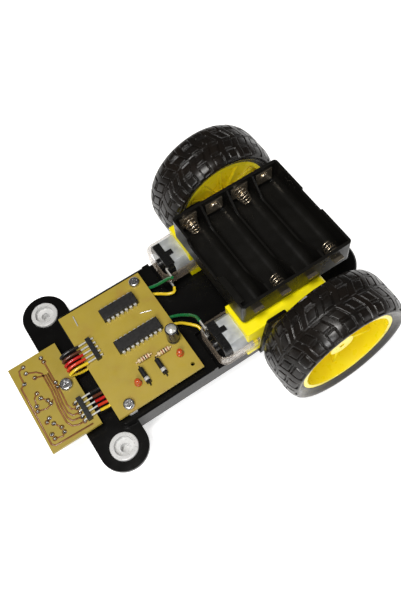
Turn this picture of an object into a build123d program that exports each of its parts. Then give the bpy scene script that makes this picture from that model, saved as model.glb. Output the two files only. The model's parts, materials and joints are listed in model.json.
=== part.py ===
from build123d import *
import math
import os

# Two-wheeled line follower robot. Millimetres, +X towards the line sensors, +Y to the robot's left, +Z up.
# Everything is drawn about the middle of the wheel axle. The last step lifts it so that the origin
# is at the bottom centre of the whole robot, on the ground.

# ---- driving dimensions -------------------------------------------------------------------------
WHEEL_R = 33.2            # tyre radius, which is also the height of the axle
WHEEL_IN = 39.5           # inner face of a tyre, from the middle plane
WHEEL_OUT = 65.6          # outer face of a tyre
SHOULDER = 2.6            # how far the tread falls away at its edges
RIM_R = 25.5              # outside of the rim, inside of the tyre
RECESS = 2.1              # how far both edges of a rim lie inside its tyre
SLIDE = {1: 2.7, -1: -0.3}         # how far out each wheel sits on its shaft, left and right
RIGHT_DRIVE = (-1.8, 1.7)          # how far the right motor sits behind its mirrored place, and inwards
HUB_R = 6.5
RIM_WALL = 2.1
WEB_Y = 44.4              # inner face of the web of a rim

BOX_IN = 18.1             # inner face of a gearbox, from the middle plane
BOX_OUT = 36.9            # outer face
BOX_REAR = -11.2
BOX_FRONT = 36.1
BOX_H = 11.2              # half height
MOTOR_Y = (BOX_IN + BOX_OUT) / 2
WALL = 1.4
HOLE_X = 20.6             # the two mounting holes through each gearbox
HOLE_Z = 8.75
MIDDLE_X = 10.575         # axes of the middle and crown gears, in front of the wheel axle
CROWN_X = 19.575
SHAFT_R = 2.7
SHAFT_END = 46.8
RUN = 0.05                # radial running clearance of every shaft
CASE_SCREW = (-8.4, 8.6)  # the self-tapping screws at the rear of a gearbox, above and below the axle
NUB = (31.0, 33.0)        # the hook for the motor strap
TERMINAL_Z = 5.0          # height of a motor's two solder tags above and below its axis
TERMINAL_HALF = 1.1

CAN_R = 10.0
CAN_FLAT = 7.5            # half the distance across the flats of a motor
CAN_REAR = 33.2
CAP_REAR = 44.0
CAP_FRONT = 48.2

DECK_TOP = -8.2
SHEET = 2.0               # thickness of the chassis
WELL_TOP = -BOX_H         # floor of the motor wells
SKIRT_BOTTOM = -20.3
BODY_HALF = 34.7
BODY_REAR = -41.0
BODY_FRONT = 105.0
BAR_TOP = -12.0           # crossbar and ears
BAR_X = 109.0
EAR_R = 12.0
EAR_Y = 40.8
GLIDE_Y = 41.4
GLIDE_R = 5.0
TAB_IN = 37.0             # upright motor tab
TAB_OUT = 38.6

BOARD_T = 1.6
BOARD_TOP = -3.3
BOARD = (58.0, 104.5, -30.2, 32.0)
SENSOR_TOP = -6.0
SENSOR_BOARD = (111.9, 137.8, -21.4, 27.6)
BOARD_SCREWS = [(62.5, -26.0), (97.1, 28.4)]
EMPTY_HOLE = (61.9, 28.2)
SENSOR_SCREW = (117.0, 1.6)
PITCH = 2.54
ROW = 7.62                # between the two rows of a chip's leads
LOGIC_CHIP = (76.2, -17.7, 7)      # centre and leads per row
DRIVER_CHIP = (75.9, 1.4, 9)
HEADER_X = 97.5
HEADER_Y = -5.5
SENSOR_HEADER_X = 115.5
SENSOR_HEADER_Y = 17.4
HEADER_PINS = 5
CAPACITOR = (62.4, 11.8)
RESISTORS = [(79.8, 12.9), (70.2, 15.2)]
DIODES = [(83.8, 20.7), (75.0, 21.2)]
LEDS = [(64.1, 20.6), (88.3, 22.0)]
LINKS = [((97.5, -27.2), (97.9, -21.1)), ((68.8, -9.2), (63.5, -7.5))]
LINE_SENSORS = [(131.2, -15.0), (131.2, 2.3), (131.2, 19.6)]

CELL_PITCH = 15.0
HOLDER_X = 4.0
HOLDER_Y = (-28.5, 31.5)
HOLDER_BOTTOM = 12.0
HOLDER_TOP = 27.0
HOLDER_WALL = 1.2
HOLDER_FLOOR = 13.4
CELLS = 4
DIP_TOP = 21.5            # the front wall dips to this between its ends
DIVIDER = [(-26.5, 27.6), (-17.5, 18.2), (12.6, 18.2), (26.5, 27.6)]    # top of a divider between two cells

RIBBON_R = 0.75
LEAD_R = 0.8
UNDER_DECK = -11.8        # the battery leads run at this height below the deck
BATTERY_LEADS = {
    "red": [(-19.9, -29.4, 20.2), (-19.9, -29.4, UNDER_DECK), (-19.9, -4.0, UNDER_DECK),
            (66.0, -4.0, UNDER_DECK), (66.0, -4.0, BOARD_TOP - BOARD_T)],
    "black": [(26.5, -29.4, 20.2), (26.5, -29.4, 12.4), (-17.6, -29.4, 12.4), (-17.6, -29.4, UNDER_DECK),
              (-17.6, -8.0, UNDER_DECK), (66.0, -8.0, UNDER_DECK), (66.0, -8.0, BOARD_TOP - BOARD_T)],
}

BASE = (                  # from the axle to the origin
    -(BODY_REAR + SENSOR_BOARD[1]) / 2,
    -(SLIDE[1] - SLIDE[-1] + RIGHT_DRIVE[1]) / 2,
    WHEEL_R,
)


# ---- small helpers ------------------------------------------------------------------------------
def block(x0, x1, y0, y1, z0, z1):
    """A box between two opposite corners."""
    return Pos((x0 + x1) / 2, (y0 + y1) / 2, (z0 + z1) / 2) * Box(x1 - x0, y1 - y0, z1 - z0)


def rod(axis, a, b, r, start, end):
    """A cylinder along an axis. a and b are its place on the other two axes, in X, Y, Z order."""
    length = abs(end - start)
    mid = (start + end) / 2
    if axis == "x":
        return Pos(mid, a, b) * Rot(0, 90, 0) * Cylinder(r, length)
    if axis == "y":
        return Pos(a, mid, b) * Rot(90, 0, 0) * Cylinder(r, length)
    return Pos(a, b, mid) * Cylinder(r, length)


def along_y(shape, y):
    """Stands a shape that was drawn up from the XY plane on the plane at y, growing towards +Y."""
    return Pos(0, y, 0) * Rot(-90, 0, 0) * shape


def gear(teeth, module, width, bore):
    """A thin-toothed spur gear up from the XY plane, with a tooth on +X."""
    pitch_r = teeth * module / 2
    root_r = pitch_r - 1.0 * module
    tip_r = pitch_r + 0.75 * module
    step = 2 * math.pi / teeth
    outline = []
    for i in range(teeth):
        for r, half in ((root_r, 0.27 * step), (tip_r, 0.11 * step)):
            outline.append((r * math.cos(i * step - half), r * math.sin(i * step - half)))
        for r, half in ((tip_r, 0.11 * step), (root_r, 0.27 * step)):
            outline.append((r * math.cos(i * step + half), r * math.sin(i * step + half)))
    body = extrude(make_face(Polyline(*outline, close=True)), width)
    return body - Pos(0, 0, width / 2) * Cylinder(bore, width + 2)


def wire(points, radius, largest=100.0):
    """A round wire of straight runs joined by tangent arcs, each as large as its runs allow."""
    radii = []
    for before, here, after in zip(points, points[1:], points[2:]):
        run_in = Vector(*here) - Vector(*before)
        run_out = Vector(*after) - Vector(*here)
        half_turn = math.radians(run_in.get_angle(run_out)) / 2
        fits = 0.45 * min(run_in.length, run_out.length) / math.tan(half_turn)
        radii.append(round(min(fits, largest), 3))
    path = FilletPolyline(*points, radius=radii)
    section = Plane(origin=path @ 0, z_dir=path % 0) * Circle(radius)
    tube = sweep(section, path=path)
    print("wire", "length", round(path.length, 1), "smallest radius", min(radii),
          "volume ratio", round(tube.volume / (math.pi * radius ** 2 * path.length), 4))
    return tube


def pan_screw(x, y, z_seat, depth, head_r=2.8):
    """A pan-head machine screw that goes down from its seat."""
    head = rod("z", x, y, head_r, z_seat, z_seat + 1.9)
    head = fillet(head.edges().sort_by(Axis.Z)[-1], 0.9)
    cross = block(x - 0.35, x + 0.35, y - 1.6, y + 1.6, z_seat + 1.0, z_seat + 3)
    slot = block(x - 1.6, x + 1.6, y - 0.35, y + 0.35, z_seat + 1.0, z_seat + 3)
    return head - slot - cross + rod("z", x, y, 1.5, z_seat - depth, z_seat)


def right_hand(shape):
    """The mirror image of a left-hand drive part, in its own place on the right."""
    return Pos(*RIGHT_DRIVE, 0) * mirror(shape, about=Plane.XZ)


def pair(shapes):
    return shapes + [right_hand(shape) for shape in shapes]


def hexagon(axis, a, b, across, start, end):
    """A hexagonal prism along an axis."""
    prism = extrude(RegularPolygon(across / math.sqrt(3), 6), abs(end - start))
    if axis == "y":
        return Pos(a, end, b) * Rot(90, 0, 0) * prism
    return Pos(a, b, start) * prism


# ---- chassis ------------------------------------------------------------------------------------
def body_outline(inset, bottom, top):
    """The rounded body of the chassis as a solid block, set in from its outline."""
    slab = block(BODY_REAR + inset, BODY_FRONT - inset, -BODY_HALF + inset, BODY_HALF - inset, bottom, top)
    upright = slab.edges().filter_by(Axis.Z)
    slab = fillet(upright.group_by(Axis.X)[0], 17.0 - inset)
    return fillet(slab.edges().filter_by(Axis.Z).group_by(Axis.X)[-1], 3.0 - inset / 2)


def motor_tab():
    """The upright plate that the left gearbox is screwed to, with its foot."""
    outline = Polyline((12.0, WELL_TOP - SHEET), (30.0, WELL_TOP - SHEET), (27.9, 1.9), (25.6, 14.4),
                       (24.6, 15.4), (16.4, 15.4), (15.2, 14.6), (12.6, 1.9), close=True)
    plate = Pos(0, TAB_OUT, 0) * Rot(90, 0, 0) * extrude(make_face(outline), TAB_OUT - TAB_IN)
    plate += block(12.0, 30.0, BODY_HALF - SHEET, TAB_OUT, WELL_TOP - SHEET, WELL_TOP)
    for z in (-HOLE_Z, HOLE_Z):
        plate -= rod("y", HOLE_X, z, 1.6, TAB_IN - 1, TAB_OUT + 1)
        plate -= Pos(HOLE_X, TAB_OUT - 0.7, z) * Rot(-90, 0, 0) * Cone(1.6, 3.0, 1.4)
    return plate


def crossbar():
    """The low bar at the front, with a round ear at each end."""
    bar = block(BAR_X - EAR_R, BAR_X + EAR_R, -EAR_Y, EAR_Y, BAR_TOP - SHEET, BAR_TOP)
    for side in (-1, 1):
        bar += rod("z", BAR_X, side * EAR_Y, EAR_R, BAR_TOP - SHEET, BAR_TOP)
    return bar


def chassis():
    shell = body_outline(0, SKIRT_BOTTOM, DECK_TOP)
    shell = chamfer(shell.edges().group_by(Axis.Z)[-1], 0.9)
    shell -= body_outline(SHEET, SKIRT_BOTTOM - 1, DECK_TOP - SHEET)
    floors = pair([block(-13.7, 54.0, BOX_IN - 6.4, BODY_HALF - 0.5, WELL_TOP - SHEET, DECK_TOP)])
    wells = pair([block(-11.7, 52.0, BOX_IN - 4.4, BODY_HALF + 3, WELL_TOP, DECK_TOP + 1)])
    nut_rooms = pair([block(17.0, 24.2, BOX_IN - 3.0, BOX_IN, WELL_TOP - 1.2, WELL_TOP + 1)])
    edge = block(-15.5, 54.0, BODY_HALF - 4, BODY_HALF, WELL_TOP - SHEET, DECK_TOP)
    for part in floors + [edge, mirror(edge, about=Plane.XZ)]:
        shell += part
    for part in wells + nut_rooms:
        shell -= part
    shell += crossbar()
    for tab in pair([motor_tab()]):
        shell += tab
    for x, y in BOARD_SCREWS:
        shell -= rod("z", x, y, 1.5, DECK_TOP - 5, DECK_TOP + 1)
    shell -= rod("z", SENSOR_SCREW[0], SENSOR_SCREW[1], 1.5, BAR_TOP - 5, BAR_TOP + 1)
    for route in BATTERY_LEADS.values():
        for x, y in {(x, y) for x, y, z in route if z == UNDER_DECK and (x > 0 or y < -20)}:
            shell -= rod("z", x, y, 1.3, DECK_TOP - 5, DECK_TOP + 1)
    for side in (-1, 1):
        shell -= rod("z", BAR_X, side * GLIDE_Y, GLIDE_R, BAR_TOP - 5, BAR_TOP + 1)
    return shell


def front_glide(side):
    """A nylon glide pushed through an ear from above, with a domed foot on the ground."""
    y = side * GLIDE_Y
    flange = rod("z", BAR_X, y, 6.8, BAR_TOP, BAR_TOP + 1.6)
    flange = fillet(flange.edges().group_by(Axis.Z)[-1], 0.6)
    stem = rod("z", BAR_X, y, GLIDE_R, BAR_TOP - SHEET, BAR_TOP)
    foot = rod("z", BAR_X, y, 6.4, -WHEEL_R, BAR_TOP - SHEET)
    foot = fillet(foot.edges().group_by(Axis.Z)[0], 4.2)
    glide = flange + stem + foot
    glide -= rod("z", BAR_X, y, 4.7, BAR_TOP - 1.2, BAR_TOP + 3)
    return glide - rod("z", BAR_X, y, 2.1, BAR_TOP - 6, BAR_TOP + 3)


# ---- gearbox ------------------------------------------------------------------------------------
def gearbox_half(outer):
    """One half of the left gearbox housing, split on the plane through the motor."""
    low, high = (MOTOR_Y, BOX_OUT) if outer else (BOX_IN, MOTOR_Y)
    half = block(BOX_REAR, BOX_FRONT, low, high, -BOX_H, BOX_H)
    half = fillet(half.edges().filter_by(Axis.Y).group_by(Axis.X)[0], 3.0)
    face = half.faces().sort_by(Axis.Y)[-1 if outer else 0]
    half = fillet(face.edges(), 0.7)
    low_in, high_in = (MOTOR_Y - 1, BOX_OUT - WALL) if outer else (BOX_IN + WALL, MOTOR_Y + 1)
    chamber = block(-9.4, 28.2, low_in, high_in, -9.8, 9.8)
    for z in (-HOLE_Z, HOLE_Z):
        chamber -= rod("y", HOLE_X, z, 2.7, low_in - 1, high_in + 1)
        chamber -= rod("y", CASE_SCREW[0], math.copysign(CASE_SCREW[1], z), 2.1, low_in - 1, high_in + 1)
    half -= chamber
    half -= motor_blank(CAN_REAR, BOX_FRONT + 1)
    half -= rod("x", MOTOR_Y, 0, 3.0 + RUN, 28.0, CAN_REAR + 1)
    half -= rod("y", 0, 0, SHAFT_R + RUN, BOX_IN - 1, BOX_OUT + 1)
    for x in (MIDDLE_X, CROWN_X):
        half -= rod("y", x, 0, 0.75, BOX_IN + 0.5, BOX_OUT - 0.5)
    for z in (-HOLE_Z, HOLE_Z):
        half -= rod("y", HOLE_X, z, 1.5, BOX_IN - 1, BOX_OUT + 1)
        half -= rod("y", CASE_SCREW[0], math.copysign(CASE_SCREW[1], z), 0.8, BOX_IN + 3, BOX_OUT + 1)
    if outer:
        for z in (-CASE_SCREW[1], CASE_SCREW[1]):
            half -= rod("y", CASE_SCREW[0], z, 1.7, BOX_OUT - 1.0, BOX_OUT + 1)
    nub_y = (BOX_OUT, BOX_OUT + 1.3) if outer else (BOX_IN - 1.3, BOX_IN)
    return half + block(NUB[0], NUB[1], nub_y[0], nub_y[1], -1.9, 1.9)


def gearbox_screws():
    screws = []
    for z in (-CASE_SCREW[1], CASE_SCREW[1]):
        head = rod("y", CASE_SCREW[0], z, 1.6, BOX_OUT - 1.0, BOX_OUT)
        screws.append(head + rod("y", CASE_SCREW[0], z, 0.8, BOX_IN + 3, BOX_OUT - 1.0))
    return pair(screws)


def motor_screws():
    """The countersunk screws through tab and gearbox, two a side."""
    screws = []
    for z in (-HOLE_Z, HOLE_Z):
        head = Pos(HOLE_X, TAB_OUT - 0.7, z) * Rot(-90, 0, 0) * Cone(1.5, 2.9, 1.4)
        screws.append(head + rod("y", HOLE_X, z, 1.5, BOX_IN - 2.6, TAB_OUT - 1.0))
    return pair(screws)


def motor_nuts():
    nuts = []
    for z in (-HOLE_Z, HOLE_Z):
        nut = hexagon("y", HOLE_X, z, 5.5, BOX_IN - 2.2, BOX_IN)
        nuts.append(nut - rod("y", HOLE_X, z, 1.5, BOX_IN - 3, BOX_IN + 1))
    return pair(nuts)


def gear_axles():
    return pair([rod("y", x, 0, 0.75, BOX_IN + 0.5, BOX_OUT - 0.5) for x in (MIDDLE_X, CROWN_X)])


# ---- gear train, drawn for the left side ---------------------------------------------------------
def output_gear():
    wheel = along_y(gear(36, 0.47, 2.8, SHAFT_R), 31.6)
    return wheel + rod("y", 0, 0, 4.2, 34.4, 35.3) - rod("y", 0, 0, SHAFT_R, 34, 36)


def middle_gear():
    wheel = along_y(gear(36, 0.40, 2.5, 0.75 + RUN), 28.4)
    pinion = along_y(gear(9, 0.47, 4.0, 0.75 + RUN), 30.9)
    sleeve = rod("y", 0, 0, 1.5, 19.8, 28.4) - rod("y", 0, 0, 0.75 + RUN, 19, 29)
    return Pos(MIDDLE_X, 0, 0) * (wheel + pinion + sleeve)


def crown_gear():
    """A face gear that turns the drive through a right angle, with its pinion above it."""
    disc = rod("y", 0, 0, 5.75, 23.6, 25.1)
    tooth = block(4.7, 5.75, 25.0, 25.95, -0.21, 0.21)
    for i in range(27):
        disc += Rot(0, i * 360 / 27, 0) * tooth
    disc += rod("y", 0, 0, 1.5, 19.8, 23.6)
    disc -= rod("y", 0, 0, 0.75 + RUN, 19, 27)
    pinion = along_y(gear(9, 0.40, 6.1, 0.75 + RUN), 25.1)
    return Pos(CROWN_X, 0, 0) * (disc + pinion)


def wheel_shaft():
    """The double-flatted output shaft."""
    shaft = rod("y", 0, 0, SHAFT_R, BOX_IN - 9.0, SHAFT_END)
    for y0, y1 in ((BOX_IN - 10, BOX_IN - 1.2), (BOX_OUT + 1.2, BOX_OUT + 10)):
        shaft -= block(-3, 3, y0, y1, 1.85, 4)
        shaft -= block(-3, 3, y0, y1, -4, -1.85)
    return shaft


def motor_pinion():
    """Brass pinion on the motor's shaft, with a gap between teeth facing the crown gear."""
    pinion = gear(9, 0.40, 2.4, 1.0)
    return Pos(24.0, MOTOR_Y, 0) * Rot(0, 90, 0) * Rot(0, 0, 90) * pinion


# ---- motor, drawn for the left side ---------------------------------------------------------------
def motor_blank(x0, x1, r=CAN_R, flat=CAN_FLAT):
    """A round bar along X with a flat above and below."""
    return rod("x", MOTOR_Y, 0, r, x0, x1) & block(x0 - 1, x1 + 1, MOTOR_Y - r, MOTOR_Y + r, -flat, flat)


def motor_can():
    can = motor_blank(CAN_REAR, CAP_REAR)
    can -= motor_blank(CAN_REAR + 0.8, CAP_REAR + 1, CAN_R - 0.8, CAN_FLAT - 0.8)
    can += rod("x", MOTOR_Y, 0, 3.0, 31.7, CAN_REAR)
    return can - rod("x", MOTOR_Y, 0, 1.0 + RUN, 31, CAN_REAR + 2)


def motor_end_cap():
    """Black end cap with a stepped tongue over each flat, and the brush end's bearing."""
    cap = motor_blank(CAP_REAR, CAP_FRONT)
    cap = fillet(cap.edges().group_by(Axis.X)[-1], 1.0)
    cap -= motor_blank(CAP_REAR - 1, CAP_FRONT - 1.6, CAN_R - 1.2, CAN_FLAT - 1.2)
    cap += rod("x", MOTOR_Y, 0, 3.0, CAP_FRONT, CAP_FRONT + 1.4)
    cap -= rod("x", MOTOR_Y, 0, 1.0 + RUN, CAP_REAR, CAP_FRONT + 3)
    for top in (1, -1):
        low, high = sorted((top * CAN_FLAT, top * (CAN_FLAT + 0.8)))
        cap += block(43.6, CAP_FRONT, 19.6, 27.4, low, high)
        cap += block(41.0, 43.6, 24.6, 27.4, low, high)
    for z in (-TERMINAL_Z, TERMINAL_Z):
        bottom, top = z - TERMINAL_HALF, z + TERMINAL_HALF
        cap -= block(CAP_REAR, CAP_FRONT + 1, BOX_IN + 1.5, BOX_IN + 2.1, bottom, top)
    return cap


def motor_terminals():
    """Two solder tags on each motor, bent towards the middle of the robot."""
    tags = []
    for z in (-TERMINAL_Z, TERMINAL_Z):
        bottom, top = z - TERMINAL_HALF, z + TERMINAL_HALF
        tag = block(CAP_FRONT - 1.5, CAP_FRONT + 0.7, BOX_IN + 1.5, BOX_IN + 2.1, bottom, top)
        tags.append(tag + block(CAP_FRONT + 0.1, CAP_FRONT + 0.7, BOX_IN - 3.0, BOX_IN + 2.1, bottom, top))
    return pair(tags)


def motor_strap():
    """The clear strap round the end of the motor, hooked on the gearbox."""
    y0, y1 = BOX_IN - 1.5, BOX_OUT + 1.5
    outside = block(29.6, 51.2, y0, y1, -3.4, 3.4)
    inside = block(28.0, 50.3, y0 + 0.9, y1 - 0.9, -4, 4)
    outside = fillet(outside.edges().filter_by(Axis.Z).group_by(Axis.X)[-1], 4.4)
    inside = fillet(inside.edges().filter_by(Axis.Z).group_by(Axis.X)[-1], 3.5)
    return outside - inside - block(NUB[0] - 0.1, NUB[1] + 0.1, y0 - 1, y1 + 1, -2.0, 2.0)


def motor_rotor():
    rotor = rod("x", MOTOR_Y, 0, 1.0, 24.0, CAP_FRONT + 1.9)
    rotor += rod("x", MOTOR_Y, 0, 5.9, 36.4, 42.4)
    return rotor + rod("x", MOTOR_Y, 0, 2.4, 42.4, 45.6)


def motor_magnets():
    """Two curved magnets inside each can, on the round sides."""
    ring = rod("x", MOTOR_Y, 0, CAN_R - 0.8, 35.4, 43.4) - rod("x", MOTOR_Y, 0, 6.6, 35, 44)
    return pair([
        ring & block(35, 44, low, high, -5.0, 5.0)
        for low, high in ((MOTOR_Y - 12, MOTOR_Y - 4), (MOTOR_Y + 4, MOTOR_Y + 12))
    ])


# ---- wheel, drawn for the left side ---------------------------------------------------------------
def wheel_rim():
    """Yellow rim: a broad ring round a deep dish, a ribbed web near the gearbox, and a hub."""
    y0, y1 = WHEEL_IN + RECESS, WHEEL_OUT - RECESS
    rim = rod("y", 0, 0, RIM_R, y0, y1) - rod("y", 0, 0, RIM_R - RIM_WALL, y0 - 1, y1 + 1)
    rim += rod("y", 0, 0, RIM_R - 1.0, WEB_Y, WEB_Y + 2.0)
    rib = block(HUB_R - 0.5, RIM_R - 1.0, WEB_Y - 1.4, WEB_Y, -0.6, 0.6)
    for i in range(12):
        rim += Rot(0, i * 30, 0) * rib
    spoke = block(HUB_R - 0.5, RIM_R - 1.0, WEB_Y + 1.5, 57.0, -0.8, 0.8)
    for i in range(6):
        rim += Rot(0, i * 60 + 30, 0) * spoke
    rim += rod("y", 0, 0, HUB_R, WHEEL_IN + 0.6, 59.0)
    bore = rod("y", 0, 0, SHAFT_R, WHEEL_IN, SHAFT_END + 0.6)
    bore -= block(-4, 4, 39, 50, 1.85, 4)
    bore -= block(-4, 4, 39, 50, -4, -1.85)
    return rim - bore - rod("y", 0, 0, 1.4, 40, 63)


def tyre():
    """A broad tyre whose tread is nearly flat in the middle and falls away steeply at both edges."""
    middle, half = (WHEEL_IN + WHEEL_OUT) / 2, (WHEEL_OUT - WHEEL_IN) / 2
    places = [i / 6 for i in range(-6, 7)]
    crown = Spline(*[(WHEEL_R - SHOULDER * abs(t) ** 4, middle + half * t) for t in places])
    rest = Polyline(crown @ 1, (RIM_R, WHEEL_OUT), (RIM_R, WHEEL_IN), crown @ 0)
    return revolve(make_face([crown, rest]), Axis.Y)


# ---- circuit boards -------------------------------------------------------------------------------
def main_board():
    x0, x1, y0, y1 = BOARD
    board = block(x0, x1, y0, y1, BOARD_TOP - BOARD_T, BOARD_TOP)
    for x, y in BOARD_SCREWS:
        board -= rod("z", x, y, 1.5, BOARD_TOP - 3, BOARD_TOP + 1)
    return board - rod("z", EMPTY_HOLE[0], EMPTY_HOLE[1], 1.0, BOARD_TOP - 3, BOARD_TOP + 1)


def sensor_board():
    x0, x1, y0, y1 = SENSOR_BOARD
    board = block(x0, x1, y0, y1, SENSOR_TOP - BOARD_T, SENSOR_TOP)
    return board - rod("z", SENSOR_SCREW[0], SENSOR_SCREW[1], 1.5, SENSOR_TOP - 3, SENSOR_TOP + 1)


def board_screws():
    screws = [pan_screw(x, y, BOARD_TOP, 8.0) for x, y in BOARD_SCREWS]
    screws.append(pan_screw(SENSOR_SCREW[0], SENSOR_SCREW[1], SENSOR_TOP, 9.0, 3.2))
    return screws


def board_spacers():
    """White nylon hexagonal spacers that hold both boards off the chassis."""
    spacers = []
    for x, y in BOARD_SCREWS:
        spacer = hexagon("z", x, y, 6.6, DECK_TOP, BOARD_TOP - BOARD_T)
        spacers.append(spacer - rod("z", x, y, 1.5, DECK_TOP - 1, BOARD_TOP))
    x, y = SENSOR_SCREW
    spacer = hexagon("z", x, y, 6.0, BAR_TOP, SENSOR_TOP - BOARD_T)
    spacers.append(spacer - rod("z", x, y, 1.5, BAR_TOP - 1, SENSOR_TOP))
    return spacers


def chip(x, y, per_row):
    """A dual in-line chip's moulded body, with the notch at its rear end."""
    length = per_row * PITCH + 1.4
    body = block(x - length / 2, x + length / 2, y - 3.2, y + 3.2, BOARD_TOP + 0.6, BOARD_TOP + 3.9)
    body = chamfer(body.edges().group_by(Axis.Z)[-1], 0.4)
    return body - rod("z", x - length / 2, y, 0.9, BOARD_TOP + 3.3, BOARD_TOP + 5)


def chip_leads():
    """Every lead of both chips: a shoulder out of the body, and a leg down to the board."""
    leads = []
    for x, y, per_row in (LOGIC_CHIP, DRIVER_CHIP):
        for i in range(per_row):
            at = x + (i - (per_row - 1) / 2) * PITCH
            for side in (-1, 1):
                low, high = sorted((y + side * 3.2, y + side * 4.1))
                lead = block(at - 0.7, at + 0.7, low, high, BOARD_TOP + 2.0, BOARD_TOP + 2.3)
                low, high = sorted((y + side * 3.8, y + side * 4.1))
                lead += block(at - 0.7, at + 0.7, low, high, BOARD_TOP + 1.0, BOARD_TOP + 2.3)
                leads.append(lead + block(at - 0.3, at + 0.3, low, high, BOARD_TOP, BOARD_TOP + 1.0))
    return leads


def capacitor():
    """An electrolytic capacitor standing on the board, with its crimp groove near the foot."""
    x, y = CAPACITOR
    can = rod("z", x, y, 3.15, BOARD_TOP, BOARD_TOP + 11.0)
    can = fillet(can.edges().group_by(Axis.Z)[-1], 0.5)
    groove = Pos(x, y, BOARD_TOP + 1.9) * Torus(3.5, 0.6)
    return can - groove


def resistors():
    parts = []
    for x, y in RESISTORS:
        body = rod("x", y, BOARD_TOP + 1.35, 1.15, x - 3.1, x + 3.1)
        for end in (-1, 1):
            body += rod("x", y, BOARD_TOP + 1.35, 0.3, x + end * 3.1, x + end * 4.4)
            body += rod("z", x + end * 4.1, y, 0.3, BOARD_TOP, BOARD_TOP + 1.35)
        parts.append(body)
    return parts


def diodes():
    parts = []
    for x, y in DIODES:
        body = rod("y", x, BOARD_TOP + 1.45, 1.3, y - 4.2, y + 4.2)
        for end in (-1, 1):
            body += rod("y", x, BOARD_TOP + 1.45, 0.35, y + end * 4.2, y + end * 5.6)
            body += rod("z", x, y + end * 5.3, 0.35, BOARD_TOP, BOARD_TOP + 1.45)
        parts.append(body)
    return parts


def leds():
    parts = []
    for x, y in LEDS:
        lens = rod("z", x, y, 1.5, BOARD_TOP + 1.0, BOARD_TOP + 4.4)
        lens = fillet(lens.edges().group_by(Axis.Z)[-1], 1.2)
        lens += rod("z", x, y, 1.8, BOARD_TOP + 0.4, BOARD_TOP + 1.2)
        for end in (-1, 1):
            lens += rod("z", x, y + end * 0.9, 0.25, BOARD_TOP, BOARD_TOP + 0.5)
        parts.append(lens)
    return parts


def jumper_links():
    """Bare wire links pressed down on the board."""
    links = []
    for (x0, y0), (x1, y1) in LINKS:
        start = Vector(x0, y0, BOARD_TOP + 0.35)
        span = Vector(x1, y1, BOARD_TOP + 0.35) - start
        link = Pos(0, 0, span.length / 2) * Cylinder(0.3, span.length)
        links.append(Plane(origin=start, z_dir=span) * link)
    return links


def header_strips():
    """The black plastic strips of the two five-pin right-angle headers."""
    strips = []
    for x, y, top in ((HEADER_X, HEADER_Y, BOARD_TOP), (SENSOR_HEADER_X, SENSOR_HEADER_Y, SENSOR_TOP)):
        half = HEADER_PINS * PITCH / 2
        strip = block(x - 1.2, x + 1.2, y - half, y + half, top, top + 2.5)
        for i in range(HEADER_PINS):
            at = y + (i - (HEADER_PINS - 1) / 2) * PITCH
            strip -= block(x - 2, x + 2, at - 0.32, at + 0.32, top + 1.0, top + 1.64)
        for i in range(1, HEADER_PINS):
            at = y + (i - HEADER_PINS / 2) * PITCH
            for end in (-1, 1):
                strip -= rod("z", x + end * 1.5, at, 0.5, top - 1, top + 3)
        strips.append(strip)
    return strips


def pin_places(centre):
    return [centre + (i - (HEADER_PINS - 1) / 2) * PITCH for i in range(HEADER_PINS)]


def header_pins():
    """Square pins through both strips, bent down into their boards behind, reaching over the gap."""
    pins = []
    for x, centre, top, tip, heel in (
        (HEADER_X, HEADER_Y, BOARD_TOP, HEADER_X + 5.6, HEADER_X - 2.6),
        (SENSOR_HEADER_X, SENSOR_HEADER_Y, SENSOR_TOP, SENSOR_HEADER_X - 5.8, SENSOR_HEADER_X + 2.6),
    ):
        for at in pin_places(centre):
            x0, x1 = sorted((tip, heel))
            pin = block(x0, x1, at - 0.32, at + 0.32, top + 1.0, top + 1.64)
            x0, x1 = sorted((heel, heel + math.copysign(0.64, tip - heel)))
            pins.append(pin + block(x0, x1, at - 0.32, at + 0.32, top, top + 1.0))
    return pins


def line_sensors():
    """Three reflective sensors under the sensor board, looking down at the line."""
    parts = []
    for x, y in LINE_SENSORS:
        top = SENSOR_TOP - BOARD_T
        body = block(x - 2.9, x + 2.9, y - 5.1, y + 5.1, top - 6.6, top)
        body = fillet(body.edges().filter_by(Axis.Z), 0.6)
        for end in (-1, 1):
            body -= rod("z", x, y + end * 2.4, 1.9, top - 8, top - 5.6)
            body += Pos(x, y + end * 2.4, top - 6.4) * Sphere(1.5)
        parts.append(body)
    return parts


# ---- battery holder -------------------------------------------------------------------------------
def cell_places():
    return [HOLDER_X + (1.5 - i) * CELL_PITCH for i in range(CELLS)]


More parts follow.
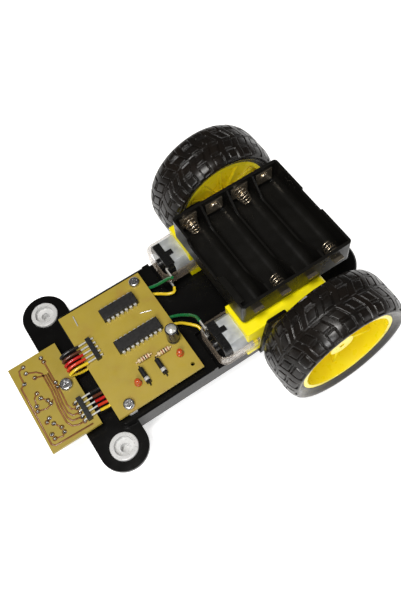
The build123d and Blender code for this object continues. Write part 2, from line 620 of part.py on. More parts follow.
def battery_holder():
    """An open holder for four cells side by side, with walls that dip between their ends."""
    half = CELLS * CELL_PITCH / 2 + HOLDER_WALL / 2
    y0, y1 = HOLDER_Y
    holder = block(HOLDER_X - half, HOLDER_X + half, y0, y1, HOLDER_BOTTOM, HOLDER_TOP)
    holder = fillet(holder.edges().filter_by(Axis.Z), 2.0)
    holder = fillet(holder.edges().group_by(Axis.Z)[0], 1.6)
    for x in cell_places():
        slot = block(x - 6.95, x + 6.95, y0 + 1.6, y1 - 1.6, HOLDER_FLOOR, HOLDER_TOP + 2)
        holder -= fillet(slot.edges().filter_by(Axis.Y).group_by(Axis.Z)[0], 4.0)
    for i in range(1, CELLS):
        x = HOLDER_X + (CELLS / 2 - i) * CELL_PITCH
        dip = extrude(Plane.YZ * make_face(Polyline(*DIVIDER, close=True)), 2.0)
        dip = fillet(dip.edges().filter_by(Axis.X).group_by(Axis.Z)[0], 5.0)
        holder -= Pos(x - 1.0, 0, 0) * dip
    front = HOLDER_X + half
    dip = block(front - 1.6, front + 1, y0 + 14.0, y1 - 20.5, DIP_TOP + 1.0, HOLDER_TOP + 2)
    holder -= fillet(dip.edges().filter_by(Axis.X).group_by(Axis.Z)[0], 3.0)
    holder -= block(HOLDER_X - half - 1, HOLDER_X - half + 1.3, -6.0, 9.0, HOLDER_TOP - 1.6, HOLDER_TOP + 1)
    lip = block(front - 3.4, front, y1 - 20.0, y1 - 3.6, HOLDER_TOP - 1.4, HOLDER_TOP)
    holder += fillet(lip.edges().group_by(Axis.Z)[-1], 0.6)
    for x in cell_places():
        holder -= block(x - 2.6, x + 2.6, y1 - 2, y1 + 1, 20.2, 20.8)
        holder -= block(x - 2.6, x + 2.6, y0 - 1, y0 + 2, 20.2, 20.8)
    return holder


def spring_end(i):
    """+1 where a cell's spring is at the left end of its slot, -1 where it is at the right end."""
    return -1 if i % 2 == 0 else 1


def end_face(side):
    return HOLDER_Y[1] - 1.6 if side > 0 else HOLDER_Y[0] + 1.6


def battery_springs():
    """A tapered coil in each slot, as a helix of flattened turns closed on its base."""
    springs = []
    for i, x in enumerate(cell_places()):
        side = spring_end(i)
        face = end_face(side)
        helix = Helix(pitch=1.9, height=6.8, radius=3.6, cone_angle=-12)
        section = Plane(origin=helix @ 0, z_dir=helix % 0) * Circle(0.35)
        coil = sweep(section, path=helix, is_frenet=True)
        base = Cylinder(4.2, 0.5) - Cylinder(3.2, 1)
        spring = Pos(x, face - side * 0.85, 20.5) * Rot(90 * side, 0, 0) * (coil + base)
        springs.append(spring)
    return springs


def battery_contacts():
    """A plate at both ends of each slot, with a tag out through the wall."""
    plates = []
    for i, x in enumerate(cell_places()):
        for side in (-1, 1):
            face = end_face(side)
            low, high = sorted((face, face - side * 0.4))
            plate = block(x - 4.8, x + 4.8, low, high, HOLDER_FLOOR + 3.0, HOLDER_TOP - 2.6)
            low, high = sorted((face, face + side * 3.4))
            plate += block(x - 2.6, x + 2.6, low, high, 20.2, 20.8)
            if side != spring_end(i):
                bump = rod("y", x, 20.5, 2.6, face - side * 0.4, face - side * 1.3)
                plate += fillet(bump.edges().group_by(Axis.Y)[0 if side > 0 else -1], 0.7)
            plates.append(plate)
    return plates


def holder_tape():
    """Two strips of foam tape between the holder and the tops of the gearboxes."""
    places = ((-26.5, -18.6), (21.5, 30.5))
    return [block(-8.0, 32.0, low, high, BOX_H, HOLDER_BOTTOM) for low, high in places]


# ---- wiring ---------------------------------------------------------------------------------------
def ribbon_route(i):
    """One of the five wires from the main header, folded down the gap and under the board."""
    y = pin_places(HEADER_Y)[i]
    y_end = pin_places(SENSOR_HEADER_Y)[i]
    start_x = HEADER_X + 5.6
    low = DECK_TOP + 0.85
    high = BOARD_TOP - BOARD_T - 0.85
    back = 90.2 + 2.2 * i
    return [
        (start_x, y, -1.98), (107.4, y, -1.2), (111.6, y, -1.6), (113.6, y, -3.6),
        (110.6, y, -5.9), (107.4, y, -7.3), (back + 4.0, y, low),
        (back, y + 3.0, low), (back + 0.01, y_end - 4.0, low), (back + 3.2, y_end - 0.4, high - 0.3),
        (back + 5.0, y_end, high), (106.0, y_end, high), (109.6, y_end, SENSOR_TOP + 1.32),
    ]


def ribbon_wires():
    return [wire(ribbon_route(i), RIBBON_R) for i in range(HEADER_PINS)]


def motor_lead_routes(colour):
    """A motor's two leads, from under the rear edge of the board to its solder tags."""
    if colour == "green":
        return [
            [(64.0, -1.5, -6.6), (58.6, -1.0, -6.5), (53.6, 1.6, -5.0), (49.8, 6.0, -1.6), (48.2, 10.6, 2.6),
             (48.5, 14.6, TERMINAL_Z)],
            [(64.0, -20.8, -6.6), (59.6, -21.4, -6.5), (55.2, -19.4, -5.0), (51.6, -17.2, -1.6),
             (47.6, -15.0, 2.4), (46.7, -12.9, TERMINAL_Z)],
        ]
    return [
        [(64.0, 3.2, -6.6), (59.0, 3.4, -6.6), (54.8, 5.4, -5.6), (51.4, 9.4, -4.6), (48.9, 12.4, -4.6),
         (48.5, 14.6, -TERMINAL_Z)],
        [(64.0, -17.4, -6.6), (59.4, -17.6, -6.6), (55.6, -15.2, -5.9), (51.4, -11.4, -5.0),
         (48.2, -10.2, -4.8), (46.7, -12.9, -TERMINAL_Z)],
    ]


def motor_leads(colour):
    return [wire(route, LEAD_R) for route in motor_lead_routes(colour)]


def battery_lead(colour):
    """A lead from the holder's far side, down behind the right gearbox and under the deck to the board."""
    return wire(BATTERY_LEADS[colour], LEAD_R, 2.4)


# ---- writing out ----------------------------------------------------------------------------------
def both_sides(name, shape):
    """Writes the left sub-part and the right one."""
    save(name + "_left", [shape])
    save(name + "_right", [right_hand(shape)])


def both_wheels(name, shape):
    """Writes a wheel's part on the left and on the right, each as far out as it sits on its shaft."""
    save(name + "_left", [Pos(0, SLIDE[1], 0) * shape])
    save(name + "_right", [right_hand(Pos(0, SLIDE[-1], 0) * shape)])


def save(name, shapes):
    placed = [Pos(*BASE) * shape for shape in shapes]
    solids = [solid for shape in placed for solid in shape.solids()]
    result = solids[0] if len(solids) == 1 else Compound(children=solids)
    export_step(result, os.path.join("parts", name + ".step"))


def main():
    os.makedirs("parts", exist_ok=True)
    save("chassis", [chassis()])
    save("front_glide_left", [front_glide(1)])
    save("front_glide_right", [front_glide(-1)])
    both_sides("gearbox_inner", gearbox_half(False))
    both_sides("gearbox_outer", gearbox_half(True))
    both_sides("output_gear", output_gear())
    both_sides("middle_gear", middle_gear())
    both_sides("crown_gear", crown_gear())
    both_sides("wheel_shaft", wheel_shaft())
    both_sides("motor_pinion", motor_pinion())
    both_sides("motor_can", motor_can())
    both_sides("motor_end_cap", motor_end_cap())
    both_sides("motor_strap", motor_strap())
    both_sides("motor_rotor", motor_rotor())
    both_wheels("wheel_rim", wheel_rim())
    both_wheels("tyre", tyre())
    save("gearbox_screws", gearbox_screws())
    save("motor_screws", motor_screws())
    save("motor_nuts", motor_nuts())
    save("gear_axles", gear_axles())
    save("motor_terminals", motor_terminals())
    save("motor_magnets", motor_magnets())
    save("main_board", [main_board()])
    save("sensor_board", [sensor_board()])
    save("board_screws", board_screws())
    save("board_spacers", board_spacers())
    save("logic_chip", [chip(*LOGIC_CHIP)])
    save("driver_chip", [chip(*DRIVER_CHIP)])
    save("chip_leads", chip_leads())
    save("capacitor", [capacitor()])
    save("resistors", resistors())
    save("diodes", diodes())
    save("indicator_leds", leds())
    save("jumper_links", jumper_links())
    save("header_strips", header_strips())
    save("header_pins", header_pins())
    save("line_sensors", line_sensors())
    save("battery_holder", [battery_holder()])
    save("battery_springs", battery_springs())
    save("battery_contacts", battery_contacts())
    save("holder_tape", holder_tape())
    save("ribbon_wires", ribbon_wires())
    save("motor_leads_green", motor_leads("green"))
    save("motor_leads_yellow", motor_leads("yellow"))
    for colour in BATTERY_LEADS:
        save("battery_lead_" + colour, [battery_lead(colour)])


main()
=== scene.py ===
"""Line follower robot: the look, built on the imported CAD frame.

Lengths in the tables are millimetres from the middle of the wheel axle, +X towards the line sensors,
+Y to the robot's left, +Z up. put() turns them into the frame's metres.
"""
import json
import math

import bpy
import numpy as np
from mathutils import Matrix, Vector


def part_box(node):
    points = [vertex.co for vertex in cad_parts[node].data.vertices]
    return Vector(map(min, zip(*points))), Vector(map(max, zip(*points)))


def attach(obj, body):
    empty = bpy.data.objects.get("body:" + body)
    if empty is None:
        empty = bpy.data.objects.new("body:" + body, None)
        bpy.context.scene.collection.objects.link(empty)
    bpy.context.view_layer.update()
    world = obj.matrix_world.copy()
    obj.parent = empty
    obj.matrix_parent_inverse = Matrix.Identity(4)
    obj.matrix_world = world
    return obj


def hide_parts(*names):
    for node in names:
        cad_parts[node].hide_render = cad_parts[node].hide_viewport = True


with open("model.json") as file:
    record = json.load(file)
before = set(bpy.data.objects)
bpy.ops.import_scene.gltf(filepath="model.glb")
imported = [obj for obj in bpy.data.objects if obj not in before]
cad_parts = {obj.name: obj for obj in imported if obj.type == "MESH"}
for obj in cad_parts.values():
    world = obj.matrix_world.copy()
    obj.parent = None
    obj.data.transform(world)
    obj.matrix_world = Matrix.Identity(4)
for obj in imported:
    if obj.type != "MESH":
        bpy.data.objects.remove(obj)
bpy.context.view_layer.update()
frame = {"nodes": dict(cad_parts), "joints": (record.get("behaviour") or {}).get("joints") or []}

MM = 0.001


def find_axle():
    """The axle's X and Z are the left wheel joint's, and the middle plane lies between the two glides."""
    x, _, z = next(joint["pos_m"] for joint in frame["joints"] if joint["name"] == "wheel_spin_left")
    glides = [corner[1] for side in ("left", "right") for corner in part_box("front_glide_" + side)]
    return Vector([round(v / MM, 2) for v in (x, sum(glides) / len(glides), z)])


AXLE = find_axle()


def put(x, y, z):
    """A point in millimetres about the axle, as a point of the frame in metres."""
    return (Vector((x, y, z)) + AXLE) * MM


def node_box(node):
    """A node's lowest and highest corners, in millimetres about the axle, to a hundredth."""
    return [[round(v / MM - a, 2) for v, a in zip(corner, AXLE)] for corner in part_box(node)]


def middle(node):
    """The middle of a node's box, in millimetres about the axle, to a hundredth."""
    return [round((low + high) / 2, 2) for low, high in zip(*node_box(node))]


# tyre and tread
TYRE_LOW, TYRE_HIGH = node_box("tyre_left")
TYRE_R = TYRE_HIGH[0]
TYRE_HALF = round((TYRE_HIGH[1] - TYRE_LOW[1]) / 2, 2)      # half its width
TYRE_BORE = node_box("wheel_rim_left")[1][0]
SHOULDER = 2.6           # how much less the radius is at the edges than in the middle
EDGE = 0.8               # how far in from an edge the tread rounds off
SIDE_WALL = (            # radius, and how far it lies inside the tyre's edge, from the tread to the bore
    (TYRE_R - SHOULDER - 1.4, 0.1), (TYRE_R - SHOULDER - 2.6, 0.7), (TYRE_BORE + 1.0, 1.9), (TYRE_BORE, 2.1),
)
BLOCKS = 24              # tread blocks round a tyre, in each row
BLOCK_STEPS = 34         # points round the tyre for each block
ACROSS_STEPS = 105       # points across the tread
BLOCK_WIDTH = 5.2
SLANT = 0.47             # how far a block leans along the tread for each millimetre across it
ROWS = ((0.9, 6.1, True), (7.4, 12.2, False))      # from, to, leaning: across the tread from its middle
OUTER_ROW_AT = 6.5       # the outer row stands where the leaning blocks reach this far across
GROOVE = 0.30            # half width
GROOVE_DEPTH = 0.85
GROOVE_REACH = 1.5       # where its sloping wall ends, in half widths from its middle
MIDDLE_LINE = 0.22       # half width of the line round the middle
MIDDLE_LINE_DEPTH = 0.45
MIDDLE_LINE_REACH = 1.4

# boards
BOARD_TOP = node_box("main_board")[1][2]
SENSOR_TOP = node_box("sensor_board")[1][2]
WEAVE = 0.6              # pitch of the laminate's glass weave
PITCH = 2.54             # of the header pins
MAIN_HEADER_Y = -5.5     # middle pin of the main board's header
SENSOR_HEADER_Y = 17.4   # middle pin of the sensor board's header
SENSOR_HEADER_X = 118.2  # where its pins are soldered
FOIL = 0.02              # the copper starts this far inside the laminate
PAD_R = 1.25

# ribbon
WIRE_R = 0.75

# small components
CAP_X, CAP_Y, _ = middle("capacitor")
CAP_TOP = node_box("capacitor")[1][2]
CAP_STRIPE_R = 3.17      # just outside the sleeve
RESISTORS = ((79.8, 12.9), (70.2, 15.2))
RESISTOR_MIDDLE = 1.35   # height of its middle above the board
RESISTOR_R = 1.15
DIODES = ((83.8, 20.7), (75.0, 21.2))
DIODE_MIDDLE = 1.45      # likewise for a diode
DIODE_R = 1.3

# camera, in metres of the frame
CAMERA_PLACE = Vector((0.05605, 0.14016, 0.32176))
CAMERA_TARGET = Vector((-0.00725, 0.00123, 0.0332))
CAMERA_LENS = 39.82
CAMERA_ROLL = math.radians(-9.64)


# ---- materials ----------------------------------------------------------------------------------
def new_material(name):
    """A new material, with its nodes, their links and its main shader."""
    mat = bpy.data.materials.new(name)
    mat.use_nodes = True
    return mat, mat.node_tree.nodes, mat.node_tree.links, mat.node_tree.nodes["Principled BSDF"]


def noise(nodes, links, size, detail=4.0, stretch=(1, 1, 1)):
    """Noise in object space whose features are about size millimetres."""
    where = nodes.new("ShaderNodeTexCoord")
    scale = nodes.new("ShaderNodeMapping")
    scale.inputs["Scale"].default_value = [s / (size * MM) for s in stretch]
    links.new(where.outputs["Object"], scale.inputs["Vector"])
    tex = nodes.new("ShaderNodeTexNoise")
    tex.inputs["Scale"].default_value = 1.0
    tex.inputs["Detail"].default_value = detail
    links.new(scale.outputs["Vector"], tex.inputs["Vector"])
    return tex.outputs["Fac"]


def ramp(nodes, links, fac, stops):
    """A colour ramp with (place, colour) stops."""
    node = nodes.new("ShaderNodeValToRGB")
    while len(node.color_ramp.elements) < len(stops):
        node.color_ramp.elements.new(0.5)
    for element, (place, colour) in zip(node.color_ramp.elements, stops):
        element.position = place
        element.color = (*colour, 1)
    links.new(fac, node.inputs["Fac"])
    return node.outputs["Color"]


def spread(nodes, links, fac, low, high):
    """Maps noise from 0.3..0.7 to low..high."""
    node = nodes.new("ShaderNodeMapRange")
    node.inputs["From Min"].default_value = 0.3
    node.inputs["From Max"].default_value = 0.7
    node.inputs["To Min"].default_value = low
    node.inputs["To Max"].default_value = high
    links.new(fac, node.inputs["Value"])
    return node.outputs["Result"]


def surface(name, colour, rough, metal=0.0, vary=0.15, patch=12.0, grain=0.35, bump=0.02, stretch=(1, 1, 1),
            edge=0.0, coat=0.0, through=0.0, alpha=1.0, shine=0.5, tint=None):
    """Painted, moulded or metal surface: uneven colour and gloss in patches, fine grain, rounded edges."""
    mat, nodes, links, shader = new_material(name)
    patches = noise(nodes, links, patch)
    other = tint or [c * (1 - vary) for c in colour]
    links.new(ramp(nodes, links, patches, ((0.3, colour), (0.7, other))), shader.inputs["Base Color"])
    fine = noise(nodes, links, grain, 3.0, stretch)
    links.new(spread(nodes, links, noise(nodes, links, patch * 0.4), rough * 0.8, rough * 1.25),
              shader.inputs["Roughness"])
    relief = nodes.new("ShaderNodeBump")
    relief.inputs["Distance"].default_value = bump * MM
    relief.inputs["Strength"].default_value = 1.0
    links.new(fine, relief.inputs["Height"])
    if edge:
        bevel = nodes.new("ShaderNodeBevel")
        bevel.samples = 4
        bevel.inputs["Radius"].default_value = edge * MM
        links.new(bevel.outputs["Normal"], relief.inputs["Normal"])
    links.new(relief.outputs["Normal"], shader.inputs["Normal"])
    shader.inputs["Metallic"].default_value = metal
    shader.inputs["Specular IOR Level"].default_value = shine
    shader.inputs["Coat Weight"].default_value = coat
    shader.inputs["Coat Roughness"].default_value = 0.12
    shader.inputs["Transmission Weight"].default_value = through
    shader.inputs["Alpha"].default_value = alpha
    return mat


def laminate(name, colour, shade):
    """Board laminate: olive resin with a faint cross weave, warm stains and a thin gloss."""
    mat, nodes, links, shader = new_material(name)
    stains = noise(nodes, links, 14.0, 5.0)
    base = ramp(nodes, links, stains, ((0.32, colour), (0.55, [c * 0.93 for c in colour]), (0.72, shade)))
    where = nodes.new("ShaderNodeTexCoord")
    weaves = []
    for axis in ("X", "Y"):
        wave = nodes.new("ShaderNodeTexWave")
        wave.bands_direction = axis
        wave.inputs["Scale"].default_value = 1 / (3.2 * WEAVE * MM)      # 3.2 waves a metre at scale 1
        wave.inputs["Distortion"].default_value = 1.2
        links.new(where.outputs["Object"], wave.inputs["Vector"])
        weaves.append(wave.outputs["Fac"])
    woven = nodes.new("ShaderNodeMath")
    woven.operation = "MULTIPLY"
    links.new(weaves[0], woven.inputs[0])
    links.new(weaves[1], woven.inputs[1])
    mix = nodes.new("ShaderNodeMix")
    mix.data_type = "RGBA"
    mix.blend_type = "MULTIPLY"
    mix.inputs["Factor"].default_value = 0.10
    links.new(base, mix.inputs["A"])
    links.new(woven.outputs["Value"], mix.inputs["B"])
    links.new(mix.outputs["Result"], shader.inputs["Base Color"])
    links.new(spread(nodes, links, noise(nodes, links, 5.0), 0.34, 0.52), shader.inputs["Roughness"])
    relief = nodes.new("ShaderNodeBump")
    relief.inputs["Distance"].default_value = 0.01 * MM
    links.new(woven.outputs["Value"], relief.inputs["Height"])
    links.new(relief.outputs["Normal"], shader.inputs["Normal"])
    return mat


MATERIALS = {
    "chassis": surface("sheet_black", (0.0050, 0.0048, 0.0046), 0.24, vary=0.3, patch=22, grain=0.5,
                       bump=0.01, edge=0.35, shine=0.14),
    "nylon": surface("nylon_white", (0.86, 0.86, 0.85), 0.30, vary=0.12, patch=3, edge=0.25, coat=0.4,
                     through=0.25),
    "yellow": surface("gearbox_yellow", (1.0, 0.88, 0.001), 0.36, vary=0.08, patch=9, edge=0.3,
                      tint=(0.98, 0.82, 0.001)),
    "rim": surface("rim_yellow", (0.98, 0.84, 0.02), 0.30, vary=0.1, patch=7, edge=0.35, coat=0.25,
                   tint=(0.95, 0.76, 0.012)),
    "acetal": surface("gear_white", (0.80, 0.79, 0.74), 0.42, vary=0.06, patch=3),
    "brass": surface("brass", (0.72, 0.52, 0.22), 0.28, metal=1.0, grain=0.15, bump=0.004),
    "steel": surface("zinc_steel", (0.60, 0.60, 0.61), 0.27, metal=1.0, vary=0.3, patch=2.5, grain=0.12,
                     bump=0.004, edge=0.12),
    "can": surface("motor_steel", (0.70, 0.73, 0.75), 0.42, metal=0.6, vary=0.35, patch=5, grain=0.22,
                   bump=0.006, stretch=(0.1, 1, 1), edge=0.3),
    "cap": surface("end_cap_black", (0.006, 0.006, 0.006), 0.26, vary=0.2, patch=4, edge=0.3, coat=0.3),
    "strap": surface("strap_clear", (0.62, 0.50, 0.38), 0.12, vary=0.2, patch=6, bump=0.002, through=0.7,
                     alpha=0.42),
    "dark_iron": surface("dark_iron", (0.10, 0.10, 0.105), 0.5, metal=0.6, patch=2),
    "rubber": surface("tyre_rubber", (0.0060, 0.0052, 0.0045), 0.26, vary=0.35, patch=9, grain=0.25,
                      bump=0.012, tint=(0.010, 0.0070, 0.0050), shine=0.36),
    "board": laminate("board_olive", (0.455, 0.335, 0.040), (0.40, 0.25, 0.040)),
    "sensor_board": laminate("sensor_board_olive", (0.40, 0.295, 0.036), (0.33, 0.26, 0.035)),
    "copper": surface("track_copper", (0.28, 0.115, 0.035), 0.38, vary=0.3, patch=3, grain=0.2, bump=0.006,
                      coat=0.4),
    "solder": surface("solder", (0.74, 0.73, 0.70), 0.20, metal=1.0, vary=0.35, patch=0.8, grain=0.3,
                      bump=0.03),
    "tin": surface("tinned_pin", (0.92, 0.91, 0.86), 0.32, metal=0.5, vary=0.3, patch=1.2, grain=0.2,
                   bump=0.004),
    "chip": surface("chip_epoxy", (0.014, 0.013, 0.013), 0.42, vary=0.2, patch=3, grain=0.12, bump=0.01,
                    edge=0.15),
    "sleeve": surface("capacitor_sleeve", (0.012, 0.012, 0.016), 0.22, vary=0.15, patch=3, coat=0.5,
                      edge=0.2),
    "stripe": surface("capacitor_stripe", (0.42, 0.42, 0.44), 0.3, vary=0.1, patch=2),
    "beige": surface("resistor_beige", (0.72, 0.55, 0.33), 0.34, vary=0.12, patch=1.5),
    "band": surface("resistor_band", (0.30, 0.05, 0.02), 0.36, vary=0.3, patch=1.0),
    "gold": surface("resistor_gold", (0.55, 0.36, 0.10), 0.34, metal=0.6, vary=0.2, patch=1.0),
    "band_pale": surface("diode_band", (0.52, 0.51, 0.48), 0.35, vary=0.15, patch=1.0),
    "diode": surface("diode_epoxy", (0.014, 0.014, 0.014), 0.30, vary=0.2, patch=1.5),
    "led": surface("led_orange", (0.80, 0.13, 0.025), 0.12, vary=0.2, patch=1.5, through=0.35, coat=0.6),
    "header": surface("header_black", (0.008, 0.008, 0.008), 0.4, vary=0.2, patch=1.5, edge=0.12),
    "sensor": surface("sensor_black", (0.012, 0.012, 0.014), 0.25, vary=0.2, patch=2, edge=0.2),
    "holder": surface("holder_black", (0.0075, 0.0070, 0.0060), 0.30, vary=0.25, patch=15, grain=0.3,
                      bump=0.014, edge=0.4, shine=0.26),
    "contact": surface("nickel", (0.62, 0.53, 0.40), 0.22, metal=0.92, vary=0.3, patch=2.5, grain=0.2,
                       bump=0.004),
    "foam": surface("foam_tape", (0.05, 0.05, 0.05), 0.9, vary=0.3, patch=1.0, grain=0.2, bump=0.08),
}
WIRE_COLOURS = {
    "black": (0.012, 0.012, 0.012), "brown": (0.10, 0.028, 0.012), "red": (0.52, 0.012, 0.010),
    "orange": (0.66, 0.045, 0.012), "yellow": (0.82, 0.58, 0.02), "green": (0.008, 0.17, 0.045),
}
for shade, colour in WIRE_COLOURS.items():
    MATERIALS["wire_" + shade] = surface("wire_" + shade, colour, 0.28, vary=0.15, patch=4, coat=0.3)

NODE_MATERIALS = {
    "chassis": "chassis", "front_glide": "nylon", "gearbox_inner": "yellow", "gearbox_outer": "yellow",
    "output_gear": "acetal", "middle_gear": "acetal", "crown_gear": "acetal", "wheel_shaft": "acetal",
    "motor_pinion": "brass", "motor_can": "can", "motor_end_cap": "cap", "motor_strap": "strap",
    "motor_rotor": "dark_iron", "motor_magnets": "dark_iron", "wheel_rim": "rim", "tyre": "rubber",
    "gearbox_screws": "steel", "motor_screws": "steel", "motor_nuts": "steel", "gear_axles": "steel",
    "motor_terminals": "tin", "main_board": "board", "sensor_board": "sensor_board", "board_screws": "steel",
    "board_spacers": "nylon", "logic_chip": "chip", "driver_chip": "chip", "chip_leads": "tin",
    "capacitor": "sleeve", "resistors": "beige", "diodes": "diode", "indicator_leds": "led",
    "jumper_links": "tin", "header_strips": "header", "header_pins": "tin", "line_sensors": "sensor",
    "battery_holder": "holder", "battery_springs": "contact", "battery_contacts": "contact",
    "holder_tape": "foam", "ribbon_wires": "wire_red", "motor_leads_green": "wire_green",
    "motor_leads_yellow": "wire_yellow", "battery_lead_red": "wire_red", "battery_lead_black": "wire_black",
}
for node, obj in frame["nodes"].items():
    kind = node.removesuffix("_left").removesuffix("_right")
    obj.data.materials.clear()
    obj.data.materials.append(MATERIALS[NODE_MATERIALS[kind]])


# ---- making pieces ------------------------------------------------------------------------------
def piece(name, verts, faces, material, body="frame"):
    """A mesh piece in metres, with its material, riding on a body."""
    mesh = bpy.data.meshes.new(name)
    mesh.from_pydata([tuple(v) for v in verts], [], faces)
    mesh.materials.append(MATERIALS[material])
    mesh.polygons.foreach_set("use_smooth", [True] * len(mesh.polygons))
    mesh.update()
    obj = bpy.data.objects.new(name, mesh)
    bpy.context.collection.objects.link(obj)
    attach(obj, body)
    return obj


def lathe(profile, centre, axis="z", steps=32):
    """Points and faces of a (radius, height) profile turned about an axis through centre, ends closed."""
    verts, faces = [], []
    for r, h in profile:
        for i in range(steps):
            a = 2 * math.pi * i / steps
            across = (r * math.cos(a), r * math.sin(a))
            place = {"x": (h, *across), "y": (across[1], h, across[0]), "z": (*across, h)}[axis]
            verts.append(put(*(Vector(centre) + Vector(place))))
    for k in range(len(profile) - 1):
        for i in range(steps):
            j = (i + 1) % steps
            faces.append((k * steps + i, k * steps + j, (k + 1) * steps + j, (k + 1) * steps + i))
    faces.append(tuple(reversed(range(steps))))
    faces.append(tuple((len(profile) - 1) * steps + i for i in range(steps)))
    return verts, faces


def joined(parts):
    """Several (points, faces) as one."""
    verts, faces = [], []
    for more_verts, more_faces in parts:
        base = len(verts)
        verts += more_verts
        faces += [tuple(i + base for i in face) for face in more_faces]
    return verts, faces


def track_strip(points, width, bottom, top):
    """A flat track along points, with mitred corners, between two heights."""
    pts = [Vector(p) for p in points]
    last = len(pts) - 1
    verts = []
    for i, p in enumerate(pts):
        before = (p - pts[max(i - 1, 0)]).normalized()
        after = (pts[min(i + 1, last)] - p).normalized()
        along = (before + after).normalized()
        mitre = max(along.dot(after if i < last else before), 0.5)
        side = Vector((-along.y, along.x)) * (width / 2) / mitre
        for q, z in ((p + side, bottom), (p + side, top), (p - side, top), (p - side, bottom)):
            verts.append(put(q.x, q.y, z))
    faces = [(0, 1, 2, 3)]
    for i in range(last):
        a, b = 4 * i, 4 * i + 4
        for k in range(4):
            n = (k + 1) % 4
            faces.append((a + k, b + k, b + n, a + n))
    end = 4 * last
    faces.append((end + 3, end + 2, end + 1, end))
    return verts, faces


# ---- tyres --------------------------------------------------------------------------------------
def cut(far, half, depth, reach):
    """Depth of a groove at a distance from its middle: a flat floor, then a wall one half width broad."""
    return depth * np.clip(reach - far / half, 0, 1)


def groove_depth(along, across, lean):
    """How deep the tread is cut at a place on it: the outlines of four rows of blocks, and a middle line."""
    pitch = 2 * math.pi * TYRE_R / BLOCKS
    far = np.full(along.shape, np.inf)
    for low, high, slanted in ROWS:
        shift = SLANT * (across if slanted else OUTER_ROW_AT)
        u = (along - lean * shift) % pitch - BLOCK_WIDTH / 2
        du = np.abs(u) - BLOCK_WIDTH / 2
        dv = np.abs(across - (low + high) / 2) - (high - low) / 2
        outside = np.hypot(np.maximum(du, 0), np.maximum(dv, 0))
        edge = np.abs(outside + np.minimum(np.maximum(du, dv), 0))
        far = np.minimum(far, edge)
    outlines = cut(far, GROOVE, GROOVE_DEPTH, GROOVE_REACH)
    return np.maximum(outlines, cut(across, MIDDLE_LINE, MIDDLE_LINE_DEPTH, MIDDLE_LINE_REACH))


def tyre(side):
    """A tyre with a cut tread, for the left side (+1) or the right side (-1)."""
    name = "left" if side == 1 else "right"
    centre_x, centre_y, _ = middle("tyre_" + name)
    half = TYRE_HALF
    turns = BLOCKS * BLOCK_STEPS
    angles = np.linspace(0, 2 * math.pi, turns, endpoint=False)
    across = np.linspace(-half, half, ACROSS_STEPS)
    a, v = np.meshgrid(angles, across)
    radius = TYRE_R - SHOULDER * np.abs(v / half) ** 4 - groove_depth(a * TYRE_R, np.abs(v), side)
    radius -= EDGE * np.clip(np.abs(v) - half + EDGE, 0, 1) ** 2
    rings = [(radius[i], np.full(turns, across[i])) for i in range(len(across))]
    for end in (1, -1):
        walls = [(np.full(turns, r), np.full(turns, end * (half - inside))) for r, inside in SIDE_WALL]
        rings = rings + walls if end == 1 else walls[::-1] + rings
    verts = []
    for r, y in rings:
        x, z = centre_x + r * np.cos(angles), r * np.sin(angles)
        verts += [put(*p) for p in zip(x, centre_y + side * y, z)]
    faces = []
    count = len(rings)
    for k in range(count):
        nxt = (k + 1) % count
        for i in range(turns):
            j = (i + 1) % turns
            quad = (k * turns + i, k * turns + j, nxt * turns + j, nxt * turns + i)
            faces.append(quad if side == 1 else quad[::-1])
    obj = piece("tread_tyre_" + name, verts, faces, "rubber", "wheel_" + name)
    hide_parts("tyre_" + name)


tyre(1)
tyre(-1)


# ---- ribbon -------------------------------------------------------------------------------------
def wire_route(i):
    """The route of the ribbon's wire number i, as in the CAD model."""
    y = MAIN_HEADER_Y + (i - 2) * PITCH
    y_end = SENSOR_HEADER_Y + (i - 2) * PITCH
    low, high, back = -7.35, -5.75, 90.2 + 2.2 * i
    return [
        (103.1, y, -1.98), (107.4, y, -1.2), (111.6, y, -1.6), (113.6, y, -3.6),
        (110.6, y, -5.9), (107.4, y, -7.3), (back + 4.0, y, low),
        (back, y + 3.0, low), (back + 0.01, y_end - 4.0, low), (back + 3.2, y_end - 0.4, high - 0.3),
        (back + 5.0, y_end, high), (106.0, y_end, high), (109.6, y_end, SENSOR_TOP + 1.32),
    ]


def line_length(points):
    """Length of a line through points."""
    return sum((b - a).length for a, b in zip(points, points[1:]))


def cord_curve(name, route, radius, material):
    """A round wire along a smooth curve near the route, and the curve's length in metres."""
    curve = bpy.data.curves.new(name, "CURVE")
    curve.dimensions = "3D"
    curve.resolution_u = 12
    spline = curve.splines.new("NURBS")
    spline.points.add(len(route) - 1)
    for point, place in zip(spline.points, route):
        point.co = (*put(*place), 1)
    spline.order_u = 3
    spline.use_endpoint_u = True
    obj = bpy.data.objects.new(name, curve)
    bpy.context.collection.objects.link(obj)
    bpy.context.view_layer.update()
    line = bpy.data.meshes.new_from_object(obj)
    length = line_length([v.co for v in line.vertices])
    curve.bevel_depth = radius * MM
    curve.bevel_resolution = 5
    curve.use_fill_caps = True
    curve.materials.append(MATERIALS[material])
    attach(obj, "frame")
    return obj, length


for i, shade in enumerate(("black", "brown", "red", "orange", "yellow")):
    route = wire_route(i)
    wire, length = cord_curve("ribbon_wire_" + shade, route, WIRE_R, "wire_" + shade)
    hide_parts("ribbon_wires")
    put(*route[0])


